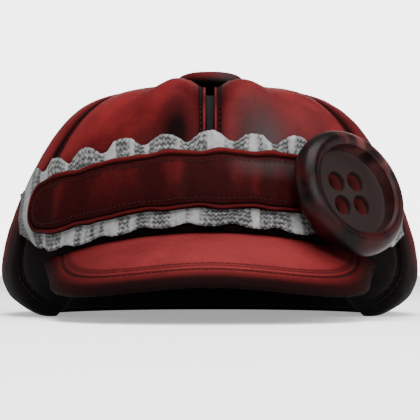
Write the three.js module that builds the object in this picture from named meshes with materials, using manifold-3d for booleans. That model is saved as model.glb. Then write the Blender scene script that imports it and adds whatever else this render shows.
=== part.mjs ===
// A soft leather kepi cap that stands on its hem.
// Six red leather panels meet at a covered top button, over a black lining that shows in the seams.
// A ruffled lace band and a gathered strap cross the front, and a large four-hole button pins the strap.
// A short curved peak is sewn on below them, and a black headband lines the opening.
//
// Millimetres, +Z up. The front of the cap, with the peak, faces -Y and its right-hand side is +X.
// An angle goes round the cap: 0 is the front, 90 is +X and 180 is the back.
// An "along" runs over the leather from the hem's inner edge, 0, to the apex, 1.
import * as THREE from "three";
import { mergeVertices } from "three/addons/utils/BufferGeometryUtils.js";
import Module from "manifold-3d";

const wasm = await Module();
wasm.setup();

// Crown
const CROWN_WIDTH = 224;
const CROWN_LENGTH = 256;
const CROWN_HEIGHT = 121;
const FRONT_RISE = 30; // how far the hem lifts at the middle of the front
const FRONT_RISE_ANGLE = 66; // where the hem is down on the table again
const LEATHER = 2;
const SEAM_GAP = 3.4;
const HEM_SEAM_GAP = 0.8;
const TIP_RADIUS = 9; // where the panels stop, under the top button
const FIT = 0.3; // clearance between pieces that rest on each other
const FOLD_FIT = 0.5; // the same where the two pieces are soft sheets

// Dents and crests in the front panels
const CREST_HEIGHT = 6;
const VALLEY_DEPTH = 5;
const DENT_DEPTH = 4;

// Lining and headband
const LINING_THICKNESS = 1.2;
const LINING_EASE = 1.6; // how far the lining hangs clear of the leather
const HEADBAND_THICKNESS = 1.5;
const HEADBAND_HEIGHT = 32;
const HEADBAND_LIFT = 2.5; // how far its foot is above the hem's

// Lace and strap, both centred on one line round the front
const BAND_ALONG = 0.505;
const LACE_END_ANGLE = 66;
const LACE_HALF_HEIGHT = 22.8;
const LACE_THICKNESS = 1.6;
const RUFFLE_DEPTH = 3;
const RUFFLE_PITCH_ANGLE = 11.5;
const SCALLOP_HEIGHT = 2;
const STRAP_END_ANGLE = 55;
const STRAP_HALF_HEIGHT = 15.5;
const STRAP_THICKNESS = 2.4;
const STRAP_EDGE_WAVE = 0.5;
const GATHER_DEPTH = 1.1;
const GATHER_PITCH_ANGLE = 7.5;

// Large button
const BUTTON_ANGLE = 33;
const BUTTON_ALONG = 0.475;
const BUTTON_RADIUS = 32.5;
const BUTTON_HEIGHT = 16;
const BUTTON_FACE_RADIUS = 22.5;
const BUTTON_FACE_HEIGHT = 8;
const BUTTON_HOLE_RADIUS = 4.9;
const BUTTON_HOLE_CIRCLE = 8.8;
const BUTTON_TURN = -5; // degrees that the hole square is turned on its axis

// Top button
const TOP_BUTTON_RADIUS = 18.5;
const TOP_BUTTON_HEIGHT = 10;
const TOP_BUTTON_STEM_RADIUS = 6;
const TOP_BUTTON_STEM_LENGTH = 3;

// Peak
const PEAK_SEAM_ALONG = 0.345;
const PEAK_HALF_ANGLE = 48;
const PEAK_HALF_WIDTH = 79;
const PEAK_REACH = 58; // from the front of the crown to the front edge
const PEAK_THICKNESS = 4;
const PEAK_FALL = 0.38; // how far it falls for each millimetre forward
const PEAK_SIDE_FALL = 0.18; // how much faster it falls towards its corners
const PEAK_CAMBER = 3;
const PEAK_SQUARENESS = 2.4; // 2 makes the front edge an ellipse, and more makes it squarer
const PEAK_CORNER_TURN = 84; // how far round its front edge has turned at the corners
const PEAK_EDGE_ROUND = 1.3; // how much thinner the front edge is, above and below

const RED = 0xa02a2c;
const MAROON = 0x4c1214;
const LACE_WHITE = 0xc9c8c6;
const BLACK = 0x0c0b0b;
const BUTTON_BROWN = 0x2c1c1b;

const radians = THREE.MathUtils.degToRad;

// Outline of the crown at the side, the front and the back. Each pair is [out, up]: the share of the
// plan's half width or half length, and the share of the height from the hem's foot to the apex.
const OUTLINE = [
  { where: "hem edge", side: [0.76, 0.045], front: [0.76, 0.045], back: [0.76, 0.045] },
  { where: "hem turn", side: [0.77, 0.01], front: [0.77, 0.01], back: [0.77, 0.01] },
  { where: "rest, inside", side: [0.785, 0], front: [0.785, 0], back: [0.785, 0] },
  { where: "rest, outside", side: [0.82, 0], front: [0.82, 0], back: [0.82, 0] },
  { where: "roll", side: [0.9, 0.038], front: [0.91, 0.04], back: [0.9, 0.038] },
  { where: "low side", side: [0.97, 0.1], front: [0.975, 0.1], back: [0.965, 0.1] },
  { where: "fullest", side: [1, 0.185], front: [1, 0.18], back: [1, 0.2] },
  { where: "band foot", side: [0.985, 0.3], front: [0.985, 0.28], back: [0.99, 0.32] },
  { where: "band", side: [0.953, 0.41], front: [0.953, 0.385], back: [0.96, 0.43] },
  { where: "band middle", side: [0.905, 0.53], front: [0.907, 0.5], back: [0.91, 0.55] },
  { where: "band head", side: [0.84, 0.65], front: [0.848, 0.625], back: [0.84, 0.67] },
  { where: "shoulder foot", side: [0.765, 0.775], front: [0.778, 0.76], back: [0.755, 0.785] },
  { where: "shoulder", side: [0.68, 0.872], front: [0.69, 0.875], back: [0.65, 0.875] },
  { where: "shoulder head", side: [0.56, 0.942], front: [0.57, 0.95], back: [0.52, 0.94] },
  { where: "top", side: [0.39, 0.98], front: [0.4, 0.985], back: [0.36, 0.978] },
  { where: "button seat", side: [0.2, 0.997], front: [0.2, 0.998], back: [0.19, 0.996] },
  { where: "apex", side: [0, 1], front: [0, 1], back: [0, 1] },
];
const ROWS = OUTLINE.length - 1;

// Soft forms pushed into or out of the leather, the same on both sides of the front seam: where, how
// wide, and how far as a share of a named depth.
const FORMS = [
  { angle: 15, along: 0.77, wideAngle: 10, wideAlong: 0.085, push: CREST_HEIGHT, share: 1 },
  { angle: 0, along: 0.79, wideAngle: 7, wideAlong: 0.11, push: -VALLEY_DEPTH, share: 1 },
  { angle: 13, along: 0.655, wideAngle: 8, wideAlong: 0.045, push: -DENT_DEPTH, share: 0.8 },
  { angle: 60, along: 0.74, wideAngle: 13, wideAlong: 0.09, push: -DENT_DEPTH, share: 0.5 },
];

// One outline of the crown as a curve of out and up shares.
function outlineCurve(where) {
  const points = OUTLINE.map((row) => new THREE.Vector3(...row[where], 0));
  return new THREE.CatmullRomCurve3(points, false, "catmullrom", 0.5);
}
const sideOutline = outlineCurve("side");
const frontOutline = outlineCurve("front");
const backOutline = outlineCurve("back");

// How far the hem is off the table at an angle.
function hemRise(angle) {
  const turned = THREE.MathUtils.euclideanModulo(angle + 180, 360) - 180;
  const share = Math.min(1, Math.abs(turned) / FRONT_RISE_ANGLE);
  return FRONT_RISE * Math.cos((share * Math.PI) / 2) ** 0.9;
}

// A point of the crown's smooth outer surface, before the dents.
function plainCrown(angle, along) {
  const t = THREE.MathUtils.clamp(along, 0, 1);
  const a = radians(angle);
  const front = Math.max(0, Math.cos(a)) ** 2;
  const back = Math.max(0, -Math.cos(a)) ** 2;
  const share = sideOutline
    .getPoint(t)
    .multiplyScalar(1 - front - back)
    .addScaledVector(frontOutline.getPoint(t), front)
    .addScaledVector(backOutline.getPoint(t), back);
  const rise = hemRise(angle);
  return new THREE.Vector3(
    (CROWN_WIDTH / 2) * share.x * Math.sin(a),
    (-CROWN_LENGTH / 2) * share.x * Math.cos(a),
    rise + (CROWN_HEIGHT - rise) * Math.max(0, share.y),
  );
}

// The outward normal of a surface given by angle and along.
function normalOf(surface, angle, along) {
  const stepAngle = 0.5;
  const stepAlong = 0.004;
  const round = surface(angle + stepAngle, along).sub(surface(angle - stepAngle, along));
  const low = Math.max(0, along - stepAlong);
  const high = Math.min(1, along + stepAlong);
  const over = surface(angle, high).sub(surface(angle, low));
  return round.cross(over).normalize();
}

// The crown's outer surface with its dents and crests.
function dentedCrown(angle, along) {
  const push = FORMS.reduce((sum, form) => {
    const offAngle = (Math.abs(angle) - form.angle) / form.wideAngle;
    const offAlong = (along - form.along) / form.wideAlong;
    return sum + form.push * form.share * Math.exp(-offAngle * offAngle - offAlong * offAlong);
  }, 0);
  const point = plainCrown(angle, along);
  if (Math.abs(push) < 0.001) return point;
  return point.addScaledVector(normalOf(plainCrown, angle, along), push);
}

// A point off the crown's leather: out is the distance outside its outer face.
function crownPoint(angle, along, out = 0) {
  const point = dentedCrown(angle, along);
  if (out === 0) return point;
  return point.addScaledVector(normalOf(dentedCrown, angle, along), out);
}

// Millimetres on the leather for each degree round it, and for the whole along.
function roundScale(angle, along) {
  return dentedCrown(angle + 0.5, along).distanceTo(dentedCrown(angle - 0.5, along));
}
function overScale(angle, along) {
  return dentedCrown(angle, along + 0.01).distanceTo(dentedCrown(angle, along - 0.01)) / 0.02;
}

// A ring-shaped body: sections all the way round, the last joined to the first.
function closedLoft(rings) {
  const size = rings[0].length;
  const positions = rings.flat().flatMap((p) => [p.x, p.y, p.z]);
  const index = [];
  for (let i = 0; i < rings.length; i++)
    for (let j = 0; j < size; j++) {
      const next = ((i + 1) % rings.length) * size;
      const a = i * size + j;
      const b = i * size + ((j + 1) % size);
      const c = next + ((j + 1) % size);
      const d = next + j;
      index.push(a, b, c, a, c, d);
    }
  return geometryOf(positions, index);
}

// A sheet with thickness: outer and inner give its two faces over the same grid.
function sheet(columns, rows, outer, inner) {
  const positions = [];
  const index = [];
  for (const face of [outer, inner])
    for (let i = 0; i <= columns; i++)
      for (let j = 0; j <= rows; j++) {
        const p = face(i / columns, j / rows);
        positions.push(p.x, p.y, p.z);
      }
  const count = (columns + 1) * (rows + 1);
  const at = (i, j) => i * (rows + 1) + j;
  for (let i = 0; i < columns; i++)
    for (let j = 0; j < rows; j++) {
      const [a, b, c, d] = [at(i, j), at(i + 1, j), at(i + 1, j + 1), at(i, j + 1)];
      index.push(a, b, c, a, c, d);
      index.push(count + a, count + c, count + b, count + a, count + d, count + c);
    }
  const wall = (a, b) => index.push(a, count + a, count + b, a, count + b, b);
  for (let i = 0; i < columns; i++) {
    wall(at(i, 0), at(i + 1, 0));
    wall(at(i + 1, rows), at(i, rows));
  }
  for (let j = 0; j < rows; j++) {
    wall(at(0, j + 1), at(0, j));
    wall(at(columns, j), at(columns, j + 1));
  }
  return geometryOf(positions, index);
}

function geometryOf(positions, index) {
  const geometry = new THREE.BufferGeometry();
  geometry.setAttribute("position", new THREE.Float32BufferAttribute(positions, 3));
  geometry.setIndex(index);
  return geometry;
}

// Between a closed three.js geometry and a solid that can be cut.
function solidOf(geometry) {
  const bare = geometry.clone();
  bare.deleteAttribute("normal");
  bare.deleteAttribute("uv");
  const merged = mergeVertices(bare, 1e-3);
  return new wasm.Manifold(
    new wasm.Mesh({
      numProp: 3,
      vertProperties: new Float32Array(merged.attributes.position.array),
      triVerts: new Uint32Array(merged.index.array),
    }),
  );
}
function geometryFrom(solid) {
  const mesh = solid.getMesh();
  return geometryOf(Array.from(mesh.vertProperties), Array.from(mesh.triVerts));
}

const cap = new THREE.Group();
function addPiece(name, geometry, colour, roughness) {
  geometry.computeVertexNormals();
  const material = new THREE.MeshStandardMaterial({ color: colour, roughness, metalness: 0 });
  const mesh = new THREE.Mesh(geometry, material);
  mesh.name = name;
  cap.add(mesh);
}

// Crown panels: each runs from the seam at its first angle to the seam at its last.
const PANELS = [
  { name: "panel_front_right", from: 0, to: 60, columns: 12 },
  { name: "panel_side_right", from: 60, to: 120, columns: 8 },
  { name: "panel_back_right", from: 120, to: 180, columns: 8 },
  { name: "panel_back_left", from: -180, to: -120, columns: 8 },
  { name: "panel_side_left", from: -120, to: -60, columns: 8 },
  { name: "panel_front_left", from: -60, to: 0, columns: 12 },
];

// The along at which the crown's plan has shrunk to a radius.
function alongAtRadius(radius) {
  let low = 0.5;
  let high = 1;
  for (let i = 0; i < 30; i++) {
    const middle = (low + high) / 2;
    if (plainCrown(90, middle).x > radius) low = middle;
    else high = middle;
  }
  return low;
}
const tipAlong = alongAtRadius(TIP_RADIUS);

// The seams open from the hem upwards.
function seamGap(along) {
  return THREE.MathUtils.lerp(HEM_SEAM_GAP, SEAM_GAP, THREE.MathUtils.smoothstep(along, 0.15, 0.4));
}

// The rows of a panel are on the points of the outline, and the last is at the tips.
function crownPanel({ from, to, columns }) {
  const face = (out) => (across, up) => {
    const along = Math.min(up, tipAlong);
    const first = from + seamGap(along) / 2 / roundScale(from, along);
    const last = to - seamGap(along) / 2 / roundScale(to, along);
    return crownPoint(THREE.MathUtils.lerp(first, last, across), along, out);
  };
  return sheet(columns, ROWS, face(0), face(-LEATHER));
}
for (const panel of PANELS) addPiece(panel.name, crownPanel(panel), RED, 0.42);

// Lining: a closed dome that follows the leather on its inside.
function dome(columns, rows, outer, inner) {
  const positions = [];
  const index = [];
  for (const face of [outer, inner]) {
    for (let j = 0; j < rows; j++)
      for (let i = 0; i < columns; i++) {
        const p = face((i * 360) / columns - 180, j / rows);
        positions.push(p.x, p.y, p.z);
      }
    positions.push(0, 0, face(0, 0.98).z);
  }
  const pole = columns * rows;
  const count = pole + 1;
  for (let i = 0; i < columns; i++) {
    const next = (i + 1) % columns;
    for (let j = 0; j + 1 < rows; j++) {
      const [a, b] = [j * columns + i, j * columns + next];
      const [c, d] = [b + columns, a + columns];
      index.push(a, b, c, a, c, d);
      index.push(count + a, count + c, count + b, count + a, count + d, count + c);
    }
    const top = pole - columns;
    index.push(top + i, top + next, pole);
    index.push(count + top + i, count + pole, count + top + next);
    index.push(i, count + i, count + next, i, count + next, next);
  }
  return geometryOf(positions, index);
}
function liningFace(deep) {
  return (angle, along) => crownPoint(angle, along, -(LEATHER + LINING_EASE + deep));
}
addPiece("lining", dome(40, ROWS, liningFace(0), liningFace(LINING_THICKNESS)), BLACK, 0.9);

// Headband: an upright band just inside the hem's turned-in edge.
function headband() {
  const steps = 40;
  const rings = [];
  const hemEdge = OUTLINE[0].side[0];
  for (let i = 0; i < steps; i++) {
    const angle = (i * 360) / steps;
    const a = radians(angle);
    const foot = hemRise(angle) + HEADBAND_LIFT;
    const wall = (inset, z) =>
      new THREE.Vector3(
        ((CROWN_WIDTH / 2) * hemEdge - inset) * Math.sin(a),
        -((CROWN_LENGTH / 2) * hemEdge - inset) * Math.cos(a),
        z,
      );
    const inner = FIT + HEADBAND_THICKNESS;
    rings.push([
      wall(inner, foot),
      wall(inner, foot + HEADBAND_HEIGHT),
      wall(FIT, foot + HEADBAND_HEIGHT),
      wall(FIT, foot),
    ]);
  }
  return closedLoft(rings);
}
addPiece("headband", headband(), BLACK, 0.75);

// A band with rounded ends, centred on the band line and laid over the crown.
// depth gives how far its outer face stands off the leather, at an angle and a share of its half height.
function bandSheet({ columns, rows, endAngle, halfHeight, bluntness, edgeWave, depth, thickness }) {
  const endColumns = 5;
  const cornerAngle = halfHeight / roundScale(endAngle, BAND_ALONG);
  const place = (across, up) => {
    const column = across * columns;
    const fromEnd = Math.min(column, columns - column);
    const side = column < columns / 2 ? -1 : 1;
    const turn = radians(THREE.MathUtils.lerp(bluntness, 90, Math.min(1, fromEnd / endColumns)));
    const straight = endAngle - cornerAngle * Math.cos(radians(bluntness));
    const corner = straight + cornerAngle * Math.cos(turn);
    const share = (column - endColumns) / (columns - 2 * endColumns);
    const angle = fromEnd < endColumns ? side * corner : THREE.MathUtils.lerp(-straight, straight, share);
    const v = up * 2 - 1;
    const reach = v * halfHeight * Math.sin(turn) + edgeWave(angle, v);
    const along = BAND_ALONG + reach / overScale(angle, BAND_ALONG);
    const spread = roundScale(angle, BAND_ALONG) / roundScale(angle, along);
    return { angle: angle * spread, v, along };
  };
  const face = (inset) => (across, up) => {
    const { angle, along, v } = place(across, up);
    return crownPoint(angle, along, depth(angle, v) - inset);
  };
  return sheet(columns, rows, face(0), face(thickness));
}

// Lace: its free edges flute in and out, and they are scalloped.
function fluteAt(angle) {
  return (1 + Math.cos(radians((angle * 360) / RUFFLE_PITCH_ANGLE))) / 2;
}
function laceDepth(angle, v) {
  const free = THREE.MathUtils.smoothstep(Math.abs(v), STRAP_HALF_HEIGHT / LACE_HALF_HEIGHT, 1);
  return FOLD_FIT + LACE_THICKNESS + RUFFLE_DEPTH * free * (0.3 + 0.7 * fluteAt(angle));
}
function scallop(angle, v) {
  return SCALLOP_HEIGHT * (v > 0 ? 1 : -0.4) * v * v * (2 * fluteAt(angle) - 1);
}
const lace = bandSheet({
  columns: 60,
  rows: 6,
  endAngle: LACE_END_ANGLE,
  halfHeight: LACE_HALF_HEIGHT,
  bluntness: 42,
  edgeWave: scallop,
  depth: laceDepth,
  thickness: LACE_THICKNESS,
});
addPiece("lace_ruffle", lace, LACE_WHITE, 0.9);

// Strap: gathered leather that ripples in soft upright folds.
const STRAP_BASE = LACE_THICKNESS + 2 * FOLD_FIT + STRAP_THICKNESS;
function strapFold(angle, pitch) {
  return Math.sin(radians((angle * 360) / pitch));
}
function strapDepth(angle, v) {
  const fold = strapFold(angle, GATHER_PITCH_ANGLE) + strapFold(angle, GATHER_PITCH_ANGLE * 1.6);
  return STRAP_BASE + GATHER_DEPTH * (0.5 + 0.25 * fold) * (1 - 0.6 * v * v);
}
const strap = bandSheet({
  columns: 46,
  rows: 5,
  endAngle: STRAP_END_ANGLE,
  halfHeight: STRAP_HALF_HEIGHT,
  bluntness: 16,
  edgeWave: (angle, v) => STRAP_EDGE_WAVE * v * strapFold(angle, GATHER_PITCH_ANGLE * 2),
  depth: strapDepth,
  thickness: STRAP_THICKNESS,
});
addPiece("strap", strap, MAROON, 0.45);

// A solid turned on the Z axis from a profile that starts and ends on the axis.
function turned(profile, columns) {
  const rings = profile.slice(1, -1);
  const positions = [0, 0, profile[0][1]];
  for (const [radius, height] of rings)
    for (let i = 0; i < columns; i++) {
      const a = (i / columns) * Math.PI * 2;
      positions.push(radius * Math.cos(a), radius * Math.sin(a), height);
    }
  positions.push(0, 0, profile.at(-1)[1]);
  const index = [];
  const at = (ring, i) => 1 + ring * columns + (i % columns);
  const last = rings.length - 1;
  for (let i = 0; i < columns; i++) {
    index.push(0, at(0, i + 1), at(0, i));
    index.push(at(last, i), at(last, i + 1), 1 + rings.length * columns);
    for (let k = 0; k < last; k++) {
      index.push(at(k, i), at(k, i + 1), at(k + 1, i + 1));
      index.push(at(k, i), at(k + 1, i + 1), at(k + 1, i));
    }
  }
  return geometryOf(positions, index);
}

// Large button: a fat rim round a sunk face with four holes. Radii and heights are shares of its size.
const BUTTON_RIM = [
  { radius: 0.62, height: 0 },
  { radius: 0.85, height: 0.08 },
  { radius: 0.97, height: 0.28 },
  { radius: 1, height: 0.52 },
  { radius: 0.96, height: 0.78 },
  { radius: 0.87, height: 0.96 },
  { radius: 0.79, height: 1 },
  { radius: 0.72, height: 0.92 },
];
function largeButton() {
  const profile = [[0, 0]];
  for (const { radius, height } of BUTTON_RIM) profile.push([radius * BUTTON_RADIUS, height * BUTTON_HEIGHT]);
  profile.push([BUTTON_FACE_RADIUS, BUTTON_FACE_HEIGHT], [0, BUTTON_FACE_HEIGHT + 0.5]);
  let solid = solidOf(turned(profile, 36));
  for (let i = 0; i < 4; i++) {
    const a = radians(BUTTON_TURN + 90 * i);
    const hole = new THREE.CylinderGeometry(BUTTON_HOLE_RADIUS, BUTTON_HOLE_RADIUS, BUTTON_HEIGHT * 3, 14);
    hole.rotateX(Math.PI / 2);
    hole.translate(BUTTON_HOLE_CIRCLE * Math.cos(a), BUTTON_HOLE_CIRCLE * Math.sin(a), 0);
    solid = solid.subtract(solidOf(hole));
  }
  return geometryFrom(solid);
}

// Lays a geometry that stands on the Z axis on the crown, with its foot at a distance off the leather.
function layOnCrown(geometry, angle, along, out) {
  const normal = normalOf(plainCrown, angle, along);
  const turn = new THREE.Quaternion().setFromUnitVectors(new THREE.Vector3(0, 0, 1), normal);
  geometry.applyQuaternion(turn);
  const foot = plainCrown(angle, along).addScaledVector(normal, out);
  geometry.translate(foot.x, foot.y, foot.z);
  return geometry;
}
const buttonOut = STRAP_BASE + GATHER_DEPTH + FIT;
addPiece("side_button", layOnCrown(largeButton(), BUTTON_ANGLE, BUTTON_ALONG, buttonOut), BUTTON_BROWN, 0.3);

// Top button: a leather-covered dome that sits on the tips of the panels.
const TOP_BUTTON_PROFILE = [
  { radius: 0.55, height: 0 },
  { radius: 0.82, height: 0.06 },
  { radius: 0.96, height: 0.22 },
  { radius: 1, height: 0.4 },
  { radius: 0.94, height: 0.62 },
  { radius: 0.78, height: 0.82 },
  { radius: 0.5, height: 0.95 },
];
const topProfile = TOP_BUTTON_PROFILE.map(({ radius, height }) => [
  radius * TOP_BUTTON_RADIUS,
  height * TOP_BUTTON_HEIGHT,
]);
const stem = [
  [0, -TOP_BUTTON_STEM_LENGTH],
  [TOP_BUTTON_STEM_RADIUS, -TOP_BUTTON_STEM_LENGTH],
  [TOP_BUTTON_STEM_RADIUS, 0],
];
const topButton = turned([...stem, ...topProfile, [0, TOP_BUTTON_HEIGHT]], 24);
topButton.translate(0, 0, CROWN_HEIGHT + FIT);
addPiece("top_button", topButton, RED, 0.4);

// Peak: from a seam on the crown it falls forward to a rounded front edge.
const PEAK_EDGE_START = 0.88; // share of the way forward where the edge starts to round off
const PEAK_ROWS = [0, 0.22, 0.46, 0.7, PEAK_EDGE_START, 0.97, 1];
function peakPoint(share, forward) {
  const seam = crownPoint(share * PEAK_HALF_ANGLE, PEAK_SEAM_ALONG, FIT);
  const corner = crownPoint(PEAK_HALF_ANGLE, PEAK_SEAM_ALONG, FIT);
  const turn = radians(share * PEAK_CORNER_TURN);
  const bulge = 2 / PEAK_SQUARENESS;
  const reach = CROWN_LENGTH / 2 + PEAK_REACH + corner.y;
  const edge = new THREE.Vector3(
    PEAK_HALF_WIDTH * Math.sign(turn) * Math.abs(Math.sin(turn)) ** bulge,
    corner.y - reach * Math.cos(turn) ** bulge,
    seam.z,
  );
  const fall = PEAK_FALL + PEAK_SIDE_FALL * Math.abs(Math.sin(turn)) ** 1.5;
  edge.z -= fall * Math.hypot(edge.x - seam.x, edge.y - seam.y);
  const point = seam.lerp(edge, forward);
  point.z += PEAK_CAMBER * Math.sin(forward * Math.PI) * Math.cos(turn);
  return point;
}
function peak() {
  const rows = PEAK_ROWS.length - 1;
  const face = (drop, edgeDrop) => (across, up) => {
    const forward = PEAK_ROWS[rows - Math.round(up * rows)];
    const edgeShare = Math.max(0, (forward - PEAK_EDGE_START) / (1 - PEAK_EDGE_START)) ** 2;
    const point = peakPoint(across * 2 - 1, forward);
    point.z -= THREE.MathUtils.lerp(drop, edgeDrop, edgeShare);
    return point;
  };
  const top = face(0, PEAK_EDGE_ROUND);
  const under = face(PEAK_THICKNESS, PEAK_THICKNESS - PEAK_EDGE_ROUND);
  return sheet(22, rows, top, under);
}
addPiece("peak", peak(), RED, 0.45);

// The origin goes to the middle of the cap's footprint, on the table.
const box = new THREE.Box3().setFromObject(cap);
const middle = box.getCenter(new THREE.Vector3());
for (const mesh of cap.children) mesh.geometry.translate(-middle.x, -middle.y, -box.min.z);

export default cap;
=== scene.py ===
# %% [markdown]
# # A soft leather kepi cap
# The cap is six curved leather panels sewn to a covered button, with a ruffled lace band, a gathered
# strap and a large four-hole button across the front, and a short stitched peak below them.
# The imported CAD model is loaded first. It is the fixed frame: each piece below is made where it says,
# in metres, with +Z up and the peak pointing to -Y.

import math

import bmesh
import bpy
import numpy as np
from mathutils import Matrix, Vector, noise


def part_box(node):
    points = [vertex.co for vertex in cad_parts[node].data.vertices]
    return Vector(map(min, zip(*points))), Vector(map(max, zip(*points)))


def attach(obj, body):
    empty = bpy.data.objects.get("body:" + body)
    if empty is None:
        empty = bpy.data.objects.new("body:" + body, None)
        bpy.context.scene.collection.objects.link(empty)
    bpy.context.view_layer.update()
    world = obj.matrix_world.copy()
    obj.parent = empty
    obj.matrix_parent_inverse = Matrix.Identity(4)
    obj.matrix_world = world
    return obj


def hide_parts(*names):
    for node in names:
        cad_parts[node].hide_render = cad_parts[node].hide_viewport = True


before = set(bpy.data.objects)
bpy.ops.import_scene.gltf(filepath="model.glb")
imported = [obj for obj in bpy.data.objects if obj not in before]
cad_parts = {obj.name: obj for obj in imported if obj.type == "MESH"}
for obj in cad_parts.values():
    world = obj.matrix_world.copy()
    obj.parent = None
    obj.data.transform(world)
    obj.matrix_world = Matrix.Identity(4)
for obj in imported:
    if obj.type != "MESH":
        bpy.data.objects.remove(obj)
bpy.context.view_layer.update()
seat_low, seat_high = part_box("top_button")
CROWN_MIDDLE_Y = (seat_low.y + seat_high.y) / 2

# %% [markdown]
# ## The leather's surface
# A hat maker cuts panels from a pattern. Here the pattern is a function: an angle round the cap (0 is
# the front, 90 the right-hand side) and an "along" that runs over the leather from the hem's inner
# edge, 0, to the apex, 1. Everything that lies on the leather asks this function for its place, so
# the panels, lace, strap and stitches follow each other without fitting. The sizes are millimetres
# and are the same as in the part's source.

# %% The crown's sizes and outline
CROWN_WIDTH, CROWN_LENGTH, CROWN_HEIGHT = 224.0, 256.0, 121.0
FRONT_RISE, FRONT_RISE_ANGLE = 30.0, 66.0
LEATHER, LINING_EASE, FOLD_FIT, FIT = 2.0, 1.6, 0.5, 0.3
SEAM_GAP, TIP_RADIUS = 3.4, 9.0
HEM_SEAM_GAP = -0.06  # the panels press together at the hem
ALONG_LENGTH = 260.0  # about how long the leather is from along 0 to 1
CREST_HEIGHT, VALLEY_DEPTH, DENT_DEPTH = 6.0, 5.0, 4.0

# Each row is out and up at the side, at the front and at the back.
OUTLINE = np.array(
    [
        [0.76, 0.045, 0.76, 0.045, 0.76, 0.045],  # hem edge
        [0.77, 0.01, 0.77, 0.01, 0.77, 0.01],  # hem turn
        [0.785, 0, 0.785, 0, 0.785, 0],  # rest, inside
        [0.82, 0, 0.82, 0, 0.82, 0],  # rest, outside
        [0.9, 0.038, 0.91, 0.04, 0.9, 0.038],  # roll
        [0.97, 0.1, 0.975, 0.1, 0.965, 0.1],  # low side
        [1, 0.185, 1, 0.18, 1, 0.2],  # fullest
        [0.985, 0.3, 0.985, 0.28, 0.99, 0.32],  # band foot
        [0.953, 0.41, 0.953, 0.385, 0.96, 0.43],  # band
        [0.905, 0.53, 0.907, 0.5, 0.91, 0.55],  # band middle
        [0.84, 0.65, 0.848, 0.625, 0.84, 0.67],  # band head
        [0.765, 0.775, 0.778, 0.76, 0.755, 0.785],  # shoulder foot
        [0.68, 0.872, 0.69, 0.875, 0.65, 0.875],  # shoulder
        [0.56, 0.942, 0.57, 0.95, 0.52, 0.94],  # shoulder head
        [0.39, 0.98, 0.4, 0.985, 0.36, 0.978],  # top
        [0.2, 0.997, 0.2, 0.998, 0.19, 0.996],  # button seat
        [0, 1, 0, 1, 0, 1],  # apex
    ]
)

# Crests and dents: angle, along, how wide in angle and along, and how far out in millimetres.
FORMS = [
    (15, 0.77, 10, 0.085, CREST_HEIGHT),
    (0, 0.79, 7, 0.11, -VALLEY_DEPTH),
    (13, 0.655, 8, 0.045, -0.8 * DENT_DEPTH),
    (60, 0.74, 13, 0.09, -0.5 * DENT_DEPTH),
]


# %% Reading the surface
def through_rows(rows, place):
    """Points on a smooth curve through the rows, at places counted in rows."""
    ends = np.vstack([2 * rows[0] - rows[1], rows, 2 * rows[-1] - rows[-2]])
    row = np.minimum(place.astype(int), len(rows) - 2)
    w = (place - row)[..., None]
    before, here, after, beyond = (ends[row + k] for k in range(4))
    leave, arrive = (after - before) / 2, (beyond - here) / 2
    curve = here + leave * w + (3 * (after - here) - 2 * leave - arrive) * w**2
    return curve + (2 * (here - after) + leave + arrive) * w**3


def outline_point(along):
    """The six outline shares at each along."""
    return through_rows(OUTLINE, np.clip(along, 0, 1) * (len(OUTLINE) - 1))


def hem_rise(angle):
    """How high the hem stands, in millimetres. It rises in front, over the forehead."""
    turned = np.abs((angle + 180) % 360 - 180)
    return FRONT_RISE * np.cos(np.minimum(1, turned / FRONT_RISE_ANGLE) * math.pi / 2) ** 0.9


def plain_crown(angle, along):
    """The leather's outer face without its crests and dents."""
    a = np.radians(angle)
    share = outline_point(along)
    front, back = np.maximum(0, np.cos(a)) ** 2, np.maximum(0, -np.cos(a)) ** 2
    side = 1 - front - back
    out = share[..., 0] * side + share[..., 2] * front + share[..., 4] * back
    up = share[..., 1] * side + share[..., 3] * front + share[..., 5] * back
    rise = hem_rise(angle)
    x = CROWN_WIDTH / 2 * out * np.sin(a)
    y = -CROWN_LENGTH / 2 * out * np.cos(a)
    return np.stack([x, y, rise + (CROWN_HEIGHT - rise) * np.maximum(0, up)], -1)


def normal_of(surface, angle, along):
    round_step = surface(angle + 0.5, along) - surface(angle - 0.5, along)
    low, high = np.maximum(0, along - 0.004), np.minimum(1, along + 0.004)
    normal = np.cross(round_step, surface(angle, high) - surface(angle, low))
    return normal / np.maximum(np.linalg.norm(normal, axis=-1, keepdims=True), 1e-9)


def crown(angle, along):
    """The leather's outer face."""
    push = np.zeros(np.broadcast(angle, along).shape)
    for at_angle, at_along, wide_angle, wide_along, depth in FORMS:
        off = ((np.abs(angle) - at_angle) / wide_angle) ** 2 + ((along - at_along) / wide_along) ** 2
        push += depth * np.exp(-off)
    return plain_crown(angle, along) + push[..., None] * normal_of(plain_crown, angle, along)


def off_crown(angle, along, out):
    """Points at a distance outside the leather's outer face, in millimetres from the crown's middle."""
    angle, along = np.broadcast_arrays(np.asarray(angle, float), np.asarray(along, float))
    return crown(angle, along) + np.asarray(out)[..., None] * normal_of(crown, angle, along)


def to_frame(points):
    """From millimetres round the crown's middle to metres in the frame."""
    return points / 1000 + np.array([0, CROWN_MIDDLE_Y, 0])


def span(one, other):
    return np.linalg.norm(one - other, axis=-1)


def round_scale(angle, along):
    """Millimetres to a degree round the cap."""
    return span(crown(angle + 0.5, along), crown(angle - 0.5, along))


def over_scale(angle, along):
    """Millimetres to one unit of along."""
    return span(crown(angle, along + 0.01), crown(angle, along - 0.01)) / 0.02


def smooth_step(value, low, high):
    share = np.clip((value - low) / (high - low), 0, 1)
    return share * share * (3 - 2 * share)


def bump_at(value, centre, width):
    """A smooth bump of height 1 at the centre."""
    return np.exp(-(((value - centre) / width) ** 2))


def wave(degrees):
    """A sine wave with one crest in 360 degrees."""
    return np.sin(np.radians(degrees))


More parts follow.
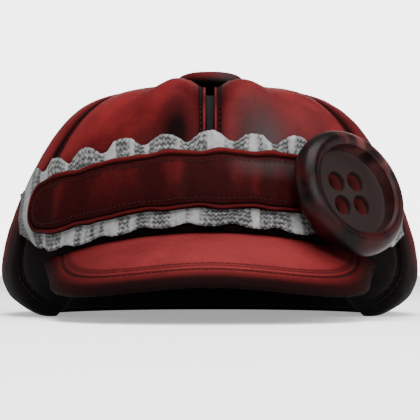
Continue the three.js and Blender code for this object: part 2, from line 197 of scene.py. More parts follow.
FULLEST_ALONG = 6 / (len(OUTLINE) - 1)
print("widest point of the leather", crown(90.0, FULLEST_ALONG).round(1))

# %% [markdown]
# ## From a grid to a piece
# Cloth and leather start flat, so each soft piece starts as a bmesh grid. A grid's own x and y, from
# -1 to 1, are its flat pattern. The helper hands them to a function that lays the pattern on the cap
# and returns values to keep on the points for the material, such as how worn the leather is there.


# %% Grid helper
def cloth_grid(columns, rows, lay, joined=False):
    """A bmesh grid laid by lay(across, up), which returns frame points, a UV in metres and values."""
    bm = bmesh.new()
    bmesh.ops.create_grid(bm, x_segments=columns, y_segments=rows, size=1.0)
    flat = np.array([v.co[:2] for v in bm.verts]) / 2 + 0.5
    points, cloth, values = lay(flat[:, 0], flat[:, 1])
    kept = {name: bm.verts.layers.float.new(name) for name in values}
    for i, v in enumerate(bm.verts):
        v.co = points[i]
        for name, layer in kept.items():
            v[layer] = float(values[name][i])
    uv = bm.loops.layers.uv.new("cloth")
    bm.verts.index_update()
    for face in bm.faces:
        for loop in face.loops:
            loop[uv].uv = cloth[loop.vert.index]
    if joined:
        bmesh.ops.remove_doubles(bm, verts=bm.verts, dist=1e-5)
    return bm


def add_object(bm, name):
    mesh = bpy.data.meshes.new(name)
    bm.to_mesh(mesh)
    bm.free()
    added = bpy.data.objects.new(name, mesh)
    bpy.context.scene.collection.objects.link(added)
    return added


def make_piece(bm, name, material, replaced=(), wall=0.0):
    """Turns a bmesh into a smooth-shaded object that rides on the cap. wall is in metres."""
    piece = add_object(bm, name)
    piece.data.shade_smooth()
    piece.data.materials.append(material)
    if wall:
        solidify = piece.modifiers.new("wall", "SOLIDIFY")
        solidify.thickness = wall
        solidify.offset = -1
    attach(piece, "root")
    if replaced:
        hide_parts(*replaced)
    print(name, len(piece.data.vertices), "points")
    return piece


def soft_noise(points, size, seed):
    """A smooth random value from -1 to 1 at each point, with lumps of about size."""
    return np.array([noise.noise(Vector(p) / size + Vector((seed, seed * 1.7, 0))) for p in points])


# %% [markdown]
# ## Shader maths
# A material's nodes read best as sums. This class wraps one output socket, so that + and * on it add
# Math nodes, and a bench adds any other node from its type, its settings and what goes into it.


# %% Sockets as numbers
class Wire:
    """One output socket of a material."""

    def __init__(self, bench, socket):
        self.bench = bench
        self.socket = socket

    def maths(self, operation, *others):
        inputs = dict(enumerate((self, *others)))
        return self.bench.node("ShaderNodeMath", {"operation": operation}, inputs)

    def __add__(self, other):
        return self.maths("ADD", other)

    def __sub__(self, other):
        return self.maths("SUBTRACT", other)

    def __mul__(self, other):
        return self.maths("MULTIPLY", other)

    def __rsub__(self, other):
        return self.bench.node("ShaderNodeMath", {"operation": "SUBTRACT"}, {0: other, 1: self})

    __radd__ = __add__
    __rmul__ = __mul__

    def sin(self):
        return self.maths("SINE")

    def between(self, low, high):
        """0 below low, 1 above high, and smooth between them."""
        settings = {"interpolation_type": "SMOOTHSTEP"}
        return self.bench.node("ShaderNodeMapRange", settings, {"Value": self, 1: low, 2: high})


class Bench:
    """A new material with its Principled shader."""

    def __init__(self, name, roughness, specular, sheen=0.0):
        self.material = bpy.data.materials.new(name)
        self.material.use_nodes = True
        self.nodes = self.material.node_tree.nodes
        self.links = self.material.node_tree.links
        self.shader = self.nodes["Principled BSDF"]
        self.set("Roughness", roughness)
        self.set("Specular IOR Level", specular)
        self.set("Sheen Weight", sheen)
        self.place = self.node("ShaderNodeTexCoord", output="Object")
        self.cloth = self.node("ShaderNodeUVMap", {"uv_map": "cloth"})

    def set(self, key, value):
        self.plug(self.shader.inputs[key], value)

    def plug(self, socket, value):
        if isinstance(value, Wire):
            self.links.new(value.socket, socket)
        else:
            socket.default_value = value

    def node(self, kind, settings=None, inputs=None, output=0):
        node = self.nodes.new(kind)
        for name, value in (settings or {}).items():
            if name == "stops":
                self.lay_stops(node.color_ramp, value)
            else:
                setattr(node, name, value)
        for key, value in (inputs or {}).items():
            self.plug(node.inputs[key], value)
        return Wire(self, node.outputs[output])

    def lay_stops(self, ramp, stops):
        while len(ramp.elements) < len(stops):
            ramp.elements.new(0.5)
        for element, (position, colour) in zip(ramp.elements, stops):
            element.position = position
            element.color = (*colour, 1)

    def kept(self, name):
        """A value that the piece keeps on its points."""
        return self.node("ShaderNodeAttribute", {"attribute_name": name}, output="Fac")

    def ramp(self, value, *stops):
        return self.node("ShaderNodeValToRGB", {"stops": stops}, {"Fac": value})

    def mix(self, share, one, other):
        colours = [(*c, 1) if isinstance(c, tuple) else c for c in (one, other)]
        inputs = {0: share, 6: colours[0], 7: colours[1]}
        return self.node("ShaderNodeMix", {"data_type": "RGBA"}, inputs, output=2)

    def cloth_axes(self):
        """The cloth's own two coordinates, in metres."""
        split = {"Vector": self.cloth}
        return [self.node("ShaderNodeSeparateXYZ", None, split, output=axis) for axis in "XY"]

    def clouds(self, scale, detail, where=None):
        inputs = {"Vector": where or self.place, "Scale": scale, "Detail": detail, "Roughness": 0.55}
        return self.node("ShaderNodeTexNoise", None, inputs)

    def cells(self, scale, feature="F1", where=None):
        inputs = {"Vector": where or self.place, "Scale": scale}
        return self.node("ShaderNodeTexVoronoi", {"feature": feature}, inputs, output="Distance")

    def raise_by(self, height, distance, strength):
        """Bumps the surface by height, whose full range stands distance metres."""
        inputs = {"Height": height, "Distance": distance, "Strength": strength}
        self.set("Normal", self.node("ShaderNodeBump", None, inputs))


def colour(code):
    """A linear colour from a hex code."""
    channels = [int(code[i : i + 2], 16) / 255 for i in (0, 2, 4)]
    return tuple(c / 12.92 if c < 0.04045 else ((c + 0.055) / 1.055) ** 2.4 for c in channels)


# %% [markdown]
# ## Leather
# The red leather has its light and shade painted into its colour: painted highlights on the ridges,
# and painted shade towards black by the seams, in the hollows and down at the hem. The pieces keep
# that painted shading on their points, from 0, black, to 1, bright, and a share of painted greyish
# sheen where it shows. Fine cells make the grain, and slow clouds keep a large area from looking
# printed.


# %% Leather maker
# the deepest painted shade, black, and a deep painted shade of the red
SHADE_BLACK, DEEP_SHADE_RED = (0.0009, 0.0005, 0.0005), (0.0035, 0.0003, 0.0003)
# the grey of a painted sheen
PAINTED_SHEEN_GREY = (0.026, 0.021, 0.021)


def leather(name, bright, middle, dark, roughness, grain=1.0, wear=1.0, specular=0.03):
    bench = Bench(name, roughness, specular)
    tone = bench.kept("tone")
    patches = bench.clouds(16, 3.0)
    clouds = bench.clouds(48, 4.0)
    fine = bench.clouds(420, 3.0)
    uneven = (patches - 0.5) * wear + (clouds - 0.5) * 0.6 * wear + (fine - 0.5) * 0.2
    # the painted shading, made patchy by the random clouds
    worn = tone + uneven * (tone + 0.1)
    # the ramp runs from painted black shade through shaded, mid-lit and lit red leather
    shade = bench.ramp(worn, (0.0, SHADE_BLACK), (0.25, dark), (0.6, middle), (1.0, bright))
    # a painted greyish sheen, broken into patches
    bloom = bench.kept("bloom") * (0.6 + patches * 0.8)
    bench.set("Base Color", bench.mix(bloom, shade, PAINTED_SHEEN_GREY))
    pores = bench.cells(900, "DISTANCE_TO_EDGE").maths("MINIMUM", 0.12) * 6
    creases = bench.cells(160, "DISTANCE_TO_EDGE").maths("MINIMUM", 0.05) * 6
    rough = (clouds - 0.5) * 0.16 + (1 - tone) * 0.3 + roughness
    bench.set("Roughness", rough + (1 - pores) * 0.06)
    height = pores * 0.5 + creases * 0.35 + fine * 0.7 + clouds * 1.2
    bench.raise_by(height, 0.00022 * grain, 0.6)
    return bench.material


# each leather's red under painted highlight, mid light and painted shade
crown_tones = (0.112, 0.0085, 0.0095), (0.031, 0.0018, 0.0021), DEEP_SHADE_RED
peak_tones = (0.126, 0.0145, 0.0155), (0.047, 0.0037, 0.004), (0.0085, 0.0005, 0.0005)
strap_tones = (0.085, 0.006, 0.006), (0.013, 0.001, 0.0011), DEEP_SHADE_RED
crown_leather = leather("red_crown_leather", *crown_tones, 0.48)
peak_leather = leather("red_peak_leather", *peak_tones, 0.5, grain=0.8, wear=0.5)
strap_leather = leather("maroon_strap_leather", *strap_tones, 0.5, wear=0.18, specular=0.02)
print("leathers", crown_leather.name, peak_leather.name, strap_leather.name)

# %% [markdown]
# ## Black cloth
# The lining is a plain weave and the headband a ribbed one. Both are black cotton, which scatters a
# little light from its fibres, so they get some sheen and a weave from crossed waves in the cloth's
# own UV, which is in metres.


# %% Black cloth maker
def black_cloth(name, threads, rib):
    """threads counts the waves across the cloth, and rib is the share of them along it."""
    bench = Bench(name, 0.9, specular=0.1, sheen=0.02)
    u, v = bench.cloth_axes()
    weft = (u * threads).sin()
    warp = (v * threads * rib).sin()
    weave = weft * warp * 0.5 + warp * (0.3 if rib < 1 else 0.0) + 0.5
    lint = bench.clouds(900, 2.0)
    shade = weave * 0.5 + lint * 0.5
    deep, pale = (0.0006, 0.0006, 0.0006), (0.005, 0.0045, 0.0045)
    bench.set("Base Color", bench.ramp(shade, (0.0, deep), (1.0, pale)))
    bench.raise_by(weave, 0.0002, 0.7)
    return bench.material


lining_cloth = black_cloth("black_lining_cotton", 5200, 1.0)
headband_cloth = black_cloth("black_headband_rib", 2400, 0.55)

# %% [markdown]
# ## Thread
# Each stitch is a small twisted bead of thread. One material serves each thread colour.


# %% Thread maker
def thread(name, shade):
    bench = Bench(name, 0.7, specular=0.08, sheen=0.02)
    twist = bench.clouds(2500, 2.0)
    bench.set("Base Color", bench.mix(twist, tuple(c * 0.5 for c in shade), shade))
    bench.raise_by(twist, 0.0001, 0.5)
    return bench.material


dark_thread = thread("dark_red_thread", colour("1a0404"))
peak_thread = thread("peak_red_thread", (0.045, 0.006, 0.006))
light_thread = thread("dusty_red_thread", colour("270b0b"))

# %% [markdown]
# ## Crown panels
# A sewn panel isn't flat up to its seam. Its edge rolls down into the gap, a narrow bead stands along
# it, and a groove of stitches holds the turned allowance beside the bead. Columns of the grid are
# packed there, and the same distance to the seam shapes the relief and the painted shade on the
# leather.

# %% Painted shading and relief of the leather
EDGE_STEPS = np.array([0, 0.35, 0.7, 1.1, 1.6, 2.1, 2.6, 3.1, 3.7, 4.6, 6.0, 8.5, 12.0])
MIDDLE_COLUMNS, PANEL_ROWS = 22, 132
FULL_EDGE_WIDTH = 34.0  # a panel narrower than this has its edge steps shrunk
STITCH_GROOVE = 2.9  # from the seam
DARK_BELOW, BRIGHT_ABOVE = 26, 104  # heights between which the painted shading rises from dark to bright


def seam_gap(along):
    """The seam between two panels opens above the band."""
    return HEM_SEAM_GAP + (SEAM_GAP - HEM_SEAM_GAP) * smooth_step(along, 0.27, 0.45)


def tip_along():
    """Where a panel ends, at the tip's radius under the top button."""
    rows = np.linspace(0.9, 1, 2001)
    widths = plain_crown(90.0, rows)[:, 0]
    return rows[np.argmin(np.abs(widths - TIP_RADIUS))]


TIP_ALONG = tip_along()


def seam_relief(from_seam, along):
    """How far the leather stands out, in millimetres, at a distance from its seam."""
    roll = -1.1 * (1 - smooth_step(from_seam, 0, 0.8))
    bead = 0.35 * bump_at(from_seam, 1.0, 0.6)
    groove = -0.75 * bump_at(from_seam, STITCH_GROOVE, 0.5)
    puff = 0.9 * smooth_step(from_seam, 3.2, 8.0) * (1 - smooth_step(from_seam, 10, 34))
    return (roll + bead + groove + puff) * smooth_step(along, 0.2, 0.3)


def painted_leather_shading(angle, along, points, from_seam):
    """Painted light and shade: highlights on the ridges, shade in the hollows, by the seams, at the hem
    and on the left, and rim light.
    """
    height = points[:, 2]
    facing = np.clip(np.cos(np.radians(angle)), 0, 1)
    # painted shade towards the hem, painted light towards the top
    low = smooth_step(height, DARK_BELOW, BRIGHT_ABOVE)
    tone = 0.9 * low
    # painted shade in the dents beside the front seam, lighter on the right
    hollow = bump_at(np.abs(angle), 10.5, 5.5) * bump_at(along, 0.66, 0.09) * facing
    hollow *= np.where(angle > 0, 0.3, 0.85)
    # painted highlight on the crests
    ridge = 0.16 * bump_at(np.abs(angle), 16, 8) * bump_at(along, 0.79, 0.07)
    # painted rim light low on the sides
    rim = 0.75 * bump_at(np.abs(angle), 86, 17) * smooth_step(height, 8, 32) * (1 - low)
    # painted shade beside each seam and in its stitch groove
    beside = 0.3 * (1 - smooth_step(from_seam, 3, 11))
    groove = 0.9 * bump_at(from_seam, STITCH_GROOVE, 1.1)
    # painted highlight on the front seams' beads, and painted black shade down into every seam's gap
    front_seam = np.abs(angle) < 20
    bead = np.where(front_seam, 0.3, 0.0) * bump_at(from_seam, 1.3, 0.7)
    edge = np.where(front_seam, smooth_step(from_seam, 0, 0.7), smooth_step(from_seam, 0.2, 1.1))
    # painted shade on the left front, where less light falls
    left_side_shade = 1 - 0.22 * smooth_step(-angle, 5, 25) * smooth_step(angle, -46, -30)
    # painted highlight on the shoulders
    shoulder = 0.2 * bump_at(np.abs(angle), 47, 13) * low
    tone = tone * left_side_shade * (1 - hollow) * (1 - beside) + ridge * low + shoulder
    return np.clip(tone * (1 - groove) + bead * low + edge - 1 + rim, 0.0, 1.0)


# %% A panel
def lay_panel(first_seam, last_seam):
    """A grid between two seams. EDGE_STEPS gives how far its outer columns are from the seam."""
    columns = 2 * (len(EDGE_STEPS) - 1) + MIDDLE_COLUMNS

    def lay(across, up):
        along = np.minimum(up, 1) * TIP_ALONG
        column = np.rint(across * columns).astype(int)
        gap = seam_gap(along) / 2
        start = first_seam + gap / round_scale(first_seam, along)
        end = last_seam - gap / round_scale(last_seam, along)
        scale = round_scale((first_seam + last_seam) / 2, along)
        width = (end - start) * scale
        shrink = np.minimum(1, width / FULL_EDGE_WIDTH)
        last = len(EDGE_STEPS) - 1
        steps_in = np.minimum(column, columns - column)
        near = EDGE_STEPS[np.minimum(steps_in, last)] * shrink
        inner = (column - last) / MIDDLE_COLUMNS
        left, right = start + near / scale, end - near / scale
        beside = np.where(column < columns / 2, left, right)
        angle = np.where(steps_in < last, beside, left + (right - left) * inner)
        from_seam = np.minimum(angle - start, end - angle) * scale / np.maximum(shrink, 0.3)
        points = off_crown(angle, along, seam_relief(from_seam, along) * np.maximum(shrink, 0.3))
        flow = np.stack([angle * 0.9, along * 95, 0 * along], -1)
        folds = 0.55 * soft_noise(flow, 9, 3) + 0.25 * soft_noise(flow, 3.5, 8)
        folds *= smooth_step(from_seam, 2, 14) * smooth_step(along, 0.2, 0.3)
        points += folds[:, None] * normal_of(plain_crown, angle, along)
        # painted light and shade on the panel
        tone = painted_leather_shading(angle, along, points, from_seam)
        # a painted greyish sheen on the right front panel
        bloom = 0.85 * bump_at(angle, 17, 8) * bump_at(along, 0.65, 0.085)
        bloom += 0.3 * bump_at(angle, 34, 14) * bump_at(along, 0.68, 0.1)
        bloom *= smooth_step(from_seam, 3, 9)
        cloth = np.stack([(angle - first_seam) * scale, along * ALONG_LENGTH], -1) / 1000
        return to_frame(points), cloth, {"tone": tone, "bloom": bloom}

    return cloth_grid(columns, PANEL_ROWS, lay)


SEAMS = [-180, -120, -60, 0, 60, 120, 180]
PANELS = ["back_left", "side_left", "front_left", "front_right", "side_right", "back_right"]
for name, first_seam, last_seam in zip(PANELS, SEAMS, SEAMS[1:]):
    panel = lay_panel(first_seam, last_seam)
    node = f"panel_{name}"
    make_piece(panel, f"leather_{name}", crown_leather, [node], wall=LEATHER / 1000)

# %% [markdown]
# ## Stitches
# A stitch is the same small shape over and over, so one helper walks along a path, takes the next
# place at each pitch, and sets a squashed sphere there. The sphere has few faces, because there are
# hundreds of them.


# %% Stitch helper
def resample(points, normals, pitch):
    """Points and normals at even steps along a path."""
    steps = np.linalg.norm(np.diff(points, axis=0), axis=1)
    walked = np.concatenate([[0], np.cumsum(steps)])
    stops = np.arange(pitch / 2, walked[-1], pitch)
    return [
        np.stack([np.interp(stops, walked, table[:, k]) for k in range(3)], -1)
        for table in (points, normals)
    ]


def sew(bm, points, normals, pitch, length, radius):
    """Adds stitches along a path of frame points."""
    centres, ups = resample(points, normals, pitch)
    runs = np.gradient(centres, axis=0)
    for centre, up, run in zip(centres, ups, runs):
        run, up = Vector(run).normalized(), Vector(up).normalized()
        side = up.cross(run).normalized()
        axes = Matrix((run * length / 2, side * radius, up * radius)).transposed().to_4x4()
        matrix = Matrix.Translation(centre) @ axes
        bmesh.ops.create_uvsphere(bm, u_segments=6, v_segments=4, radius=1, matrix=matrix)
    return len(centres)


def crown_stitches():
    bm = bmesh.new()
    count = 0
    along = np.linspace(0.06, 0.955, 160)  # from just inside the hem to the top button's edge
    for seam in SEAMS[1:]:
        for side in (-1, 1):
            off_seam = side * (seam_gap(along) / 2 + STITCH_GROOVE)
            angle = seam + off_seam / round_scale(seam, along)
            points = to_frame(off_crown(angle, along, -0.55))
            count += sew(bm, points, normal_of(crown, angle, along), 0.0042, 0.0032, 0.0004)
    print("stitches in the crown", count)
    return bm


make_piece(crown_stitches(), "seam_stitches", dark_thread)

# %% [markdown]
# ## Lining and headband
# The lining is a black dome inside the leather, seen in the seams and from below. The headband is the
# ribbed band that sits against the forehead, just inside the hem. Both are grids joined into a ring.


# %% Lining
LINING_COLUMNS, LINING_ROWS = 144, 80
LINING_WALL, CLOTH_WALL = 0.0012, 0.0009  # metres


def lay_lining(across, up):
    angle, along = across * 360 - 180, up * 0.9995
    pleats = 0.4 * wave(angle * 24) * (1 - smooth_step(along, 0.35, 0.6))
    points = off_crown(angle, along, pleats - LEATHER - LINING_EASE)
    points[up > 0.999] = [0, 0, CROWN_HEIGHT - LEATHER - LINING_EASE]
    cloth = np.stack([angle * 1.9, along * ALONG_LENGTH], -1) / 1000
    return to_frame(points), cloth, {}


lining = cloth_grid(LINING_COLUMNS, LINING_ROWS, lay_lining, joined=True)
lining = make_piece(lining, "lining_dome", lining_cloth, ["lining"], wall=LINING_WALL)

# %% Headband
HEADBAND_HEIGHT, HEADBAND_LIFT = 32.0, 2.5
HEADBAND_COLUMNS, HEADBAND_ROWS = 160, 24


def lay_headband(across, up):
    angle = across * 360 - 180
    a = np.radians(angle)
    fold = 0.5 * bump_at(up, 0.04, 0.03) + 0.5 * bump_at(up, 0.96, 0.03)
    inset = FIT + 0.6 - fold + 0.15 * wave(angle * 9) * wave(up * 180)
    x = (CROWN_WIDTH / 2 * OUTLINE[0, 0] - inset) * np.sin(a)
    y = -(CROWN_LENGTH / 2 * OUTLINE[0, 0] - inset) * np.cos(a)
    z = hem_rise(angle) + HEADBAND_LIFT + up * HEADBAND_HEIGHT
    cloth = np.stack([angle * 1.6, up * HEADBAND_HEIGHT], -1) / 1000
    return to_frame(np.stack([x, y, z], -1)), cloth, {}


headband = cloth_grid(HEADBAND_COLUMNS, HEADBAND_ROWS, lay_headband, joined=True)
headband = make_piece(
    headband, "headband_rib", headband_cloth, ["headband"], wall=CLOTH_WALL
)

# %% [markdown]
# ## Peak
# The peak is board covered in leather, stitched in rows parallel to its front edge. One grid wraps
# it like the real cover: from the seam over the top, round the front edge and back along the
# underside. Its sides weld where the two faces meet, and the open seam side is filled.

# %% Peak sizes and surface
PEAK_SEAM_ALONG, PEAK_HALF_ANGLE, PEAK_HALF_WIDTH = 0.345, 48.0, 79.0
PEAK_REACH, PEAK_THICKNESS, PEAK_CAMBER = 58.0, 4.0, 3.0
PEAK_FALL, PEAK_SIDE_FALL = 0.38, 0.18
PEAK_SQUARENESS, PEAK_CORNER_TURN = 2.4, 84.0
GROOVE_FROM_EDGE, FINE_ROWS_FROM_EDGE = 10.2, (13.4, 15.4)
PEAK_SIDE_STRETCH = 1.7  # the rows run closer to the side edges than to the front
PEAK_COLUMNS, PEAK_ROWS = 130, 190


def peak_point(share, forward):
    """A point on the peak's top. share runs from side to side, forward from the seam to the rim."""
    angle = share * PEAK_HALF_ANGLE
    seam = off_crown(angle, PEAK_SEAM_ALONG, FIT)
    corner_y = off_crown(PEAK_HALF_ANGLE, PEAK_SEAM_ALONG, FIT)[1]
    turn = np.radians(share * PEAK_CORNER_TURN)
    bulge = 2 / PEAK_SQUARENESS
    reach = CROWN_LENGTH / 2 + PEAK_REACH + corner_y
    edge_x = PEAK_HALF_WIDTH * np.sign(turn) * np.abs(np.sin(turn)) ** bulge
    edge_y = corner_y - reach * np.cos(turn) ** bulge
    fall = PEAK_FALL + PEAK_SIDE_FALL * np.abs(np.sin(turn)) ** 1.5
    drop = fall * np.hypot(edge_x - seam[:, 0], edge_y - seam[:, 1])
    edge = np.stack([edge_x, edge_y, seam[:, 2] - drop], -1)
    points = seam + (edge - seam) * forward[:, None]
    points[:, 2] += PEAK_CAMBER * np.sin(forward * math.pi) * np.cos(turn)
    return points


rim_share = np.linspace(-1, 1, 400)
side_forward = np.linspace(0, 1, 30)
front_rim = peak_point(rim_share, np.ones_like(rim_share))
side_rims = [peak_point(np.full_like(side_forward, end), side_forward) for end in (-1, 1)]
peak_rim = np.vstack([front_rim, *side_rims])


def from_rim(points):
    """Distance from each point to the peak's free edge, seen from above, and stretched at its sides."""
    gaps = (points[:, None, :2] - peak_rim[None, :, :2]) * np.array([PEAK_SIDE_STRETCH, 1])
    return np.sqrt((gaps**2).sum(-1)).min(1)


# %% Peak piece
def lay_peak(across, up):
    place = across * 2 - 1
    share = 1.5 * place - 0.5 * place**3
    forward = 1 - np.abs(up * 2 - 1) ** 1.7
    points = peak_point(share, forward)
    inset = from_rim(points)
    relief = -0.85 * bump_at(inset, GROOVE_FROM_EDGE, 0.7)
    for row in FINE_ROWS_FROM_EDGE:
        relief = relief - 0.3 * bump_at(inset, row, 0.55)
    relief += 0.45 * bump_at(inset, 5, 3)
    half = PEAK_THICKNESS / 2
    roll = half - np.sqrt(half**2 - np.maximum(0, half - inset) ** 2)
    top = up >= 0.5
    points[:, 2] += np.where(top, relief * smooth_step(inset, 0, 2) - roll, roll - PEAK_THICKNESS)
    # painted light and shade: darker towards the rolled rim and the sides, dark in the groove, the fine
    # rows and at the seam, black on the underside
    side = smooth_step(np.abs(share), 0.25, 0.9)
    inner = 0.98 - 0.34 * smooth_step(np.abs(share), 0.15, 0.95)
    outer = 0.52 - 0.2 * side
    tone = outer + (inner - outer) * smooth_step(inset, 3, 14)
    tone *= 1 - (0.85 - 0.5 * side) * (1 - smooth_step(inset, 0.5, 6))
    tone -= 0.75 * bump_at(inset, GROOVE_FROM_EDGE, 0.75) + 0.1 * bump_at(inset, 14.4, 2.2)
    for row in FINE_ROWS_FROM_EDGE:
        tone -= 0.3 * bump_at(inset, row, 0.6)
    tone -= 0.5 * (1 - smooth_step(forward, 0, 0.05))
    tone = np.where(top, tone, 0.04)
    cloth = np.stack([share * 80, forward * 60], -1) / 1000
    return to_frame(points), cloth, {"tone": np.clip(tone, 0.02, 1)}


def closed_peak():
    bm = cloth_grid(PEAK_COLUMNS, PEAK_ROWS, lay_peak, joined=True)
    bmesh.ops.holes_fill(bm, edges=[e for e in bm.edges if e.is_boundary])
    bmesh.ops.recalc_face_normals(bm, faces=bm.faces)
    return bm


make_piece(closed_peak(), "stitched_peak", peak_leather, ["peak"])


# %% Peak stitches
def peak_stitches():
    bm = bmesh.new()
    share, forward = np.meshgrid(np.linspace(-0.995, 0.995, 240), np.linspace(0, 1, 160), indexing="ij")
    points = peak_point(share.ravel(), forward.ravel())
    inset = from_rim(points).reshape(share.shape)
    points = points.reshape(*share.shape, 3)
    for row in (GROOVE_FROM_EDGE, *FINE_ROWS_FROM_EDGE):
        nearest = np.abs(inset - row).argmin(1)
        close = np.abs(inset - row).min(1) < 0.5  # the row ends where no point lies near it
        path = points[np.arange(len(points)), nearest][close]
        path[:, 2] += -0.5 if row == GROOVE_FROM_EDGE else -0.2
        ups = np.tile([0.0, -0.35, 0.94], (len(path), 1))
        count = sew(bm, to_frame(path), ups, 0.003, 0.0021, 0.00026)
        print("stitches in the peak's row", row, count)
    return bm


make_piece(peak_stitches(), "peak_stitches", peak_thread)

# %% [markdown]
# ## Lace band
# The lace is a gathered band: pulled up on the line that the strap hides, so its free edges flute
# in and out and its rim scallops. The grid lies along the band. Its UV keeps the cloth's own metres,
# for the knitted pattern. Lace and strap sag a little on the left, and the lace's ends lean.

# %% Bands on the crown
BAND_ALONG = 0.505
LACE_END_ANGLE, LACE_HALF_HEIGHT, LACE_THICKNESS = 66.0, 22.8, 1.6
RUFFLE_DEPTH, RUFFLE_PITCH_ANGLE, SCALLOP_HEIGHT = 3.0, 11.5, 2.0
LACE_HEAD_LEAN, LACE_FOOT_LEAN = 2.5, 7.5  # degrees that the left end gains above and loses below
LACE_FOOT_DROP = 2.2  # how much lower the free edge hangs below the strap on the right
LACE_COLUMNS, LACE_ROWS, LACE_END_COLUMNS, LACE_BLUNTNESS = 300, 44, 26, 31
STRAP_END_ANGLE, STRAP_HALF_HEIGHT, STRAP_THICKNESS = 55.0, 15.5, 2.4
GATHER_DEPTH, GATHER_PITCH_ANGLE, STRAP_EDGE_WAVE = 1.1, 7.5, 0.5
BAND_SAG, BAND_SAG_ANGLE, BAND_SAG_SPREAD = 4.0, -41.0, 20.0  # the bands hang lower on the left


def lay_band(across, up, columns, end_columns, end_angle, half_height, bluntness, edge_wave):
    """Flat angle, angle, along and share of the half height for a band with rounded ends."""
    corner = half_height / round_scale(end_angle, BAND_ALONG)
    column = across * columns
    from_end = np.minimum(column, columns - column)
    side = np.where(column < columns / 2, -1, 1)
    turn = np.radians(bluntness + (90 - bluntness) * np.minimum(1, from_end / end_columns))
    straight = end_angle - corner * math.cos(math.radians(bluntness))
    share = (column - end_columns) / (columns - 2 * end_columns)
    ends = side * (straight + corner * np.cos(turn))
    angle = np.where(from_end < end_columns, ends, -straight + 2 * straight * share)
    v = up * 2 - 1
    sag = BAND_SAG * bump_at(angle, BAND_SAG_ANGLE, BAND_SAG_SPREAD)
    band = BAND_ALONG - sag / over_scale(angle, BAND_ALONG)
    reach = v * half_height * np.sin(turn) + edge_wave(angle, v)
    along = band + reach / over_scale(angle, band)
    spread = round_scale(angle, band) / round_scale(angle, along)
    return angle, angle * spread, along, v


def flute(angle):
    """0 between the flutes and 1 on them."""
    return (1 + np.cos(np.radians(angle * 360 / RUFFLE_PITCH_ANGLE))) / 2


# %% Lace piece
def lace_edge(angle, v):
    crest = flute(angle) * (2 - flute(angle))
    scallop = SCALLOP_HEIGHT * np.where(v > 0, 1, -0.4) * v * v * (2 * crest - 1)
    picot = 0.3 * np.sign(v) * np.abs(v) ** 8 * np.abs(wave(angle * 110))
    foot = LACE_FOOT_DROP * np.where(v < 0, v * v, 0) * bump_at(angle, 26, 15)
    return scallop + picot - foot


def lay_lace(across, up):
    ends = (LACE_END_COLUMNS, LACE_END_ANGLE, LACE_HALF_HEIGHT, LACE_BLUNTNESS)
    flat_angle, angle, along, v = lay_band(across, up, LACE_COLUMNS, *ends, lace_edge)
    free = smooth_step(np.abs(v), STRAP_HALF_HEIGHT / LACE_HALF_HEIGHT * 0.9, 1)
    calm = 1 - 0.6 * smooth_step(np.abs(flat_angle), 50, 62)
    main = 0.25 + 0.65 * flute(flat_angle)
    ripple = 0.5 * wave(flat_angle * 83 + 30 * v) + 0.3 * wave(flat_angle * 137)
    depth = FOLD_FIT + LACE_THICKNESS + free * calm * (RUFFLE_DEPTH * main + 0.4 * ripple)
    high = (along - BAND_ALONG) * over_scale(flat_angle, BAND_ALONG) / LACE_HALF_HEIGHT
    side = np.where(flat_angle < 0, -1, 0.4) * np.where(high > 0, LACE_HEAD_LEAN, LACE_FOOT_LEAN)
    lean = side * high * smooth_step(np.abs(flat_angle), 42, LACE_END_ANGLE)
    points = off_crown(angle + lean, along, depth)
    cloth = np.stack([flat_angle * 2.35, v * LACE_HALF_HEIGHT], -1) / 1000
    # painted light on the ruffle's folds, with painted shade under the strap
    fold_shading = free * (0.5 + 0.5 * ripple)
    # painted shade at the lace's left end
    dim = smooth_step(-flat_angle, 44, 64)
    return to_frame(points), cloth, {"fold": fold_shading, "dim": dim}


# %% Lace material
def lace_material():
    bench = Bench("white_knitted_lace", 0.9, specular=0.1, sheen=0.05)
    u, v = bench.cloth_axes()
    flat = bench.node("ShaderNodeCombineXYZ", None, {"X": u, "Y": v * 0.1})
    bands = bench.clouds(88, 2.0, where=flat).between(0.4, 0.52)
    streaks = bench.clouds(420, 2.0, where=flat)
    mottled = bench.clouds(260, 4.0, where=bench.cloth)
    lumps = bench.clouds(230, 3.0, where=bench.cloth)
    zigzag = (u * 2300 + lumps * 3).maths("PINGPONG", 3.14159) * 0.8
    rows = (v * 2900 + zigzag + lumps * 5).sin().between(-0.7, 0.9)
    holes = bench.cells(400, where=bench.cloth).between(0.25, 0.65)
    open_work = (rows * 0.5 + holes * 0.5 + streaks * 0.4) * bands * (0.6 + lumps * 0.7)
    plain = bench.mix(mottled, (0.085, 0.085, 0.085), (0.3, 0.3, 0.297))
    # the painted shade of the folds and of the left end darkens the lace
    shade = open_work * 0.88 + (1 - bench.kept("fold")) * 0.06 + streaks * 0.12
    shade = (shade + bench.kept("dim") * 0.3).maths("MINIMUM", 1.0)
    bench.set("Base Color", bench.mix(shade, plain, (0.022, 0.022, 0.022)))
    bench.raise_by((1 - open_work) + mottled * 0.3, 0.0007, 0.8)
    return bench.material


lace = cloth_grid(LACE_COLUMNS, LACE_ROWS, lay_lace)
lace = make_piece(lace, "lace_band", lace_material(), ["lace_ruffle"], wall=CLOTH_WALL)

# %% [markdown]
# ## Strap
# The strap is soft leather with a corded edge: a bead runs round it, a groove holds the bead, and a
# fine row of stitches follows inside. Gathers run across it. Its edge line is wavy, because the
# gathers pull it in.


# %% Strap piece
STRAP_COLUMNS, STRAP_ROWS, STRAP_END_COLUMNS, STRAP_BLUNTNESS = 300, 56, 40, 8
STRAP_BASE = LACE_THICKNESS + 2 * FOLD_FIT + STRAP_THICKNESS
STRAP_END_SCALE = round_scale(STRAP_END_ANGLE, BAND_ALONG)
CORD_GROOVE, STITCHES_FROM_EDGE = 2.8, 5.6  # from the strap's outline


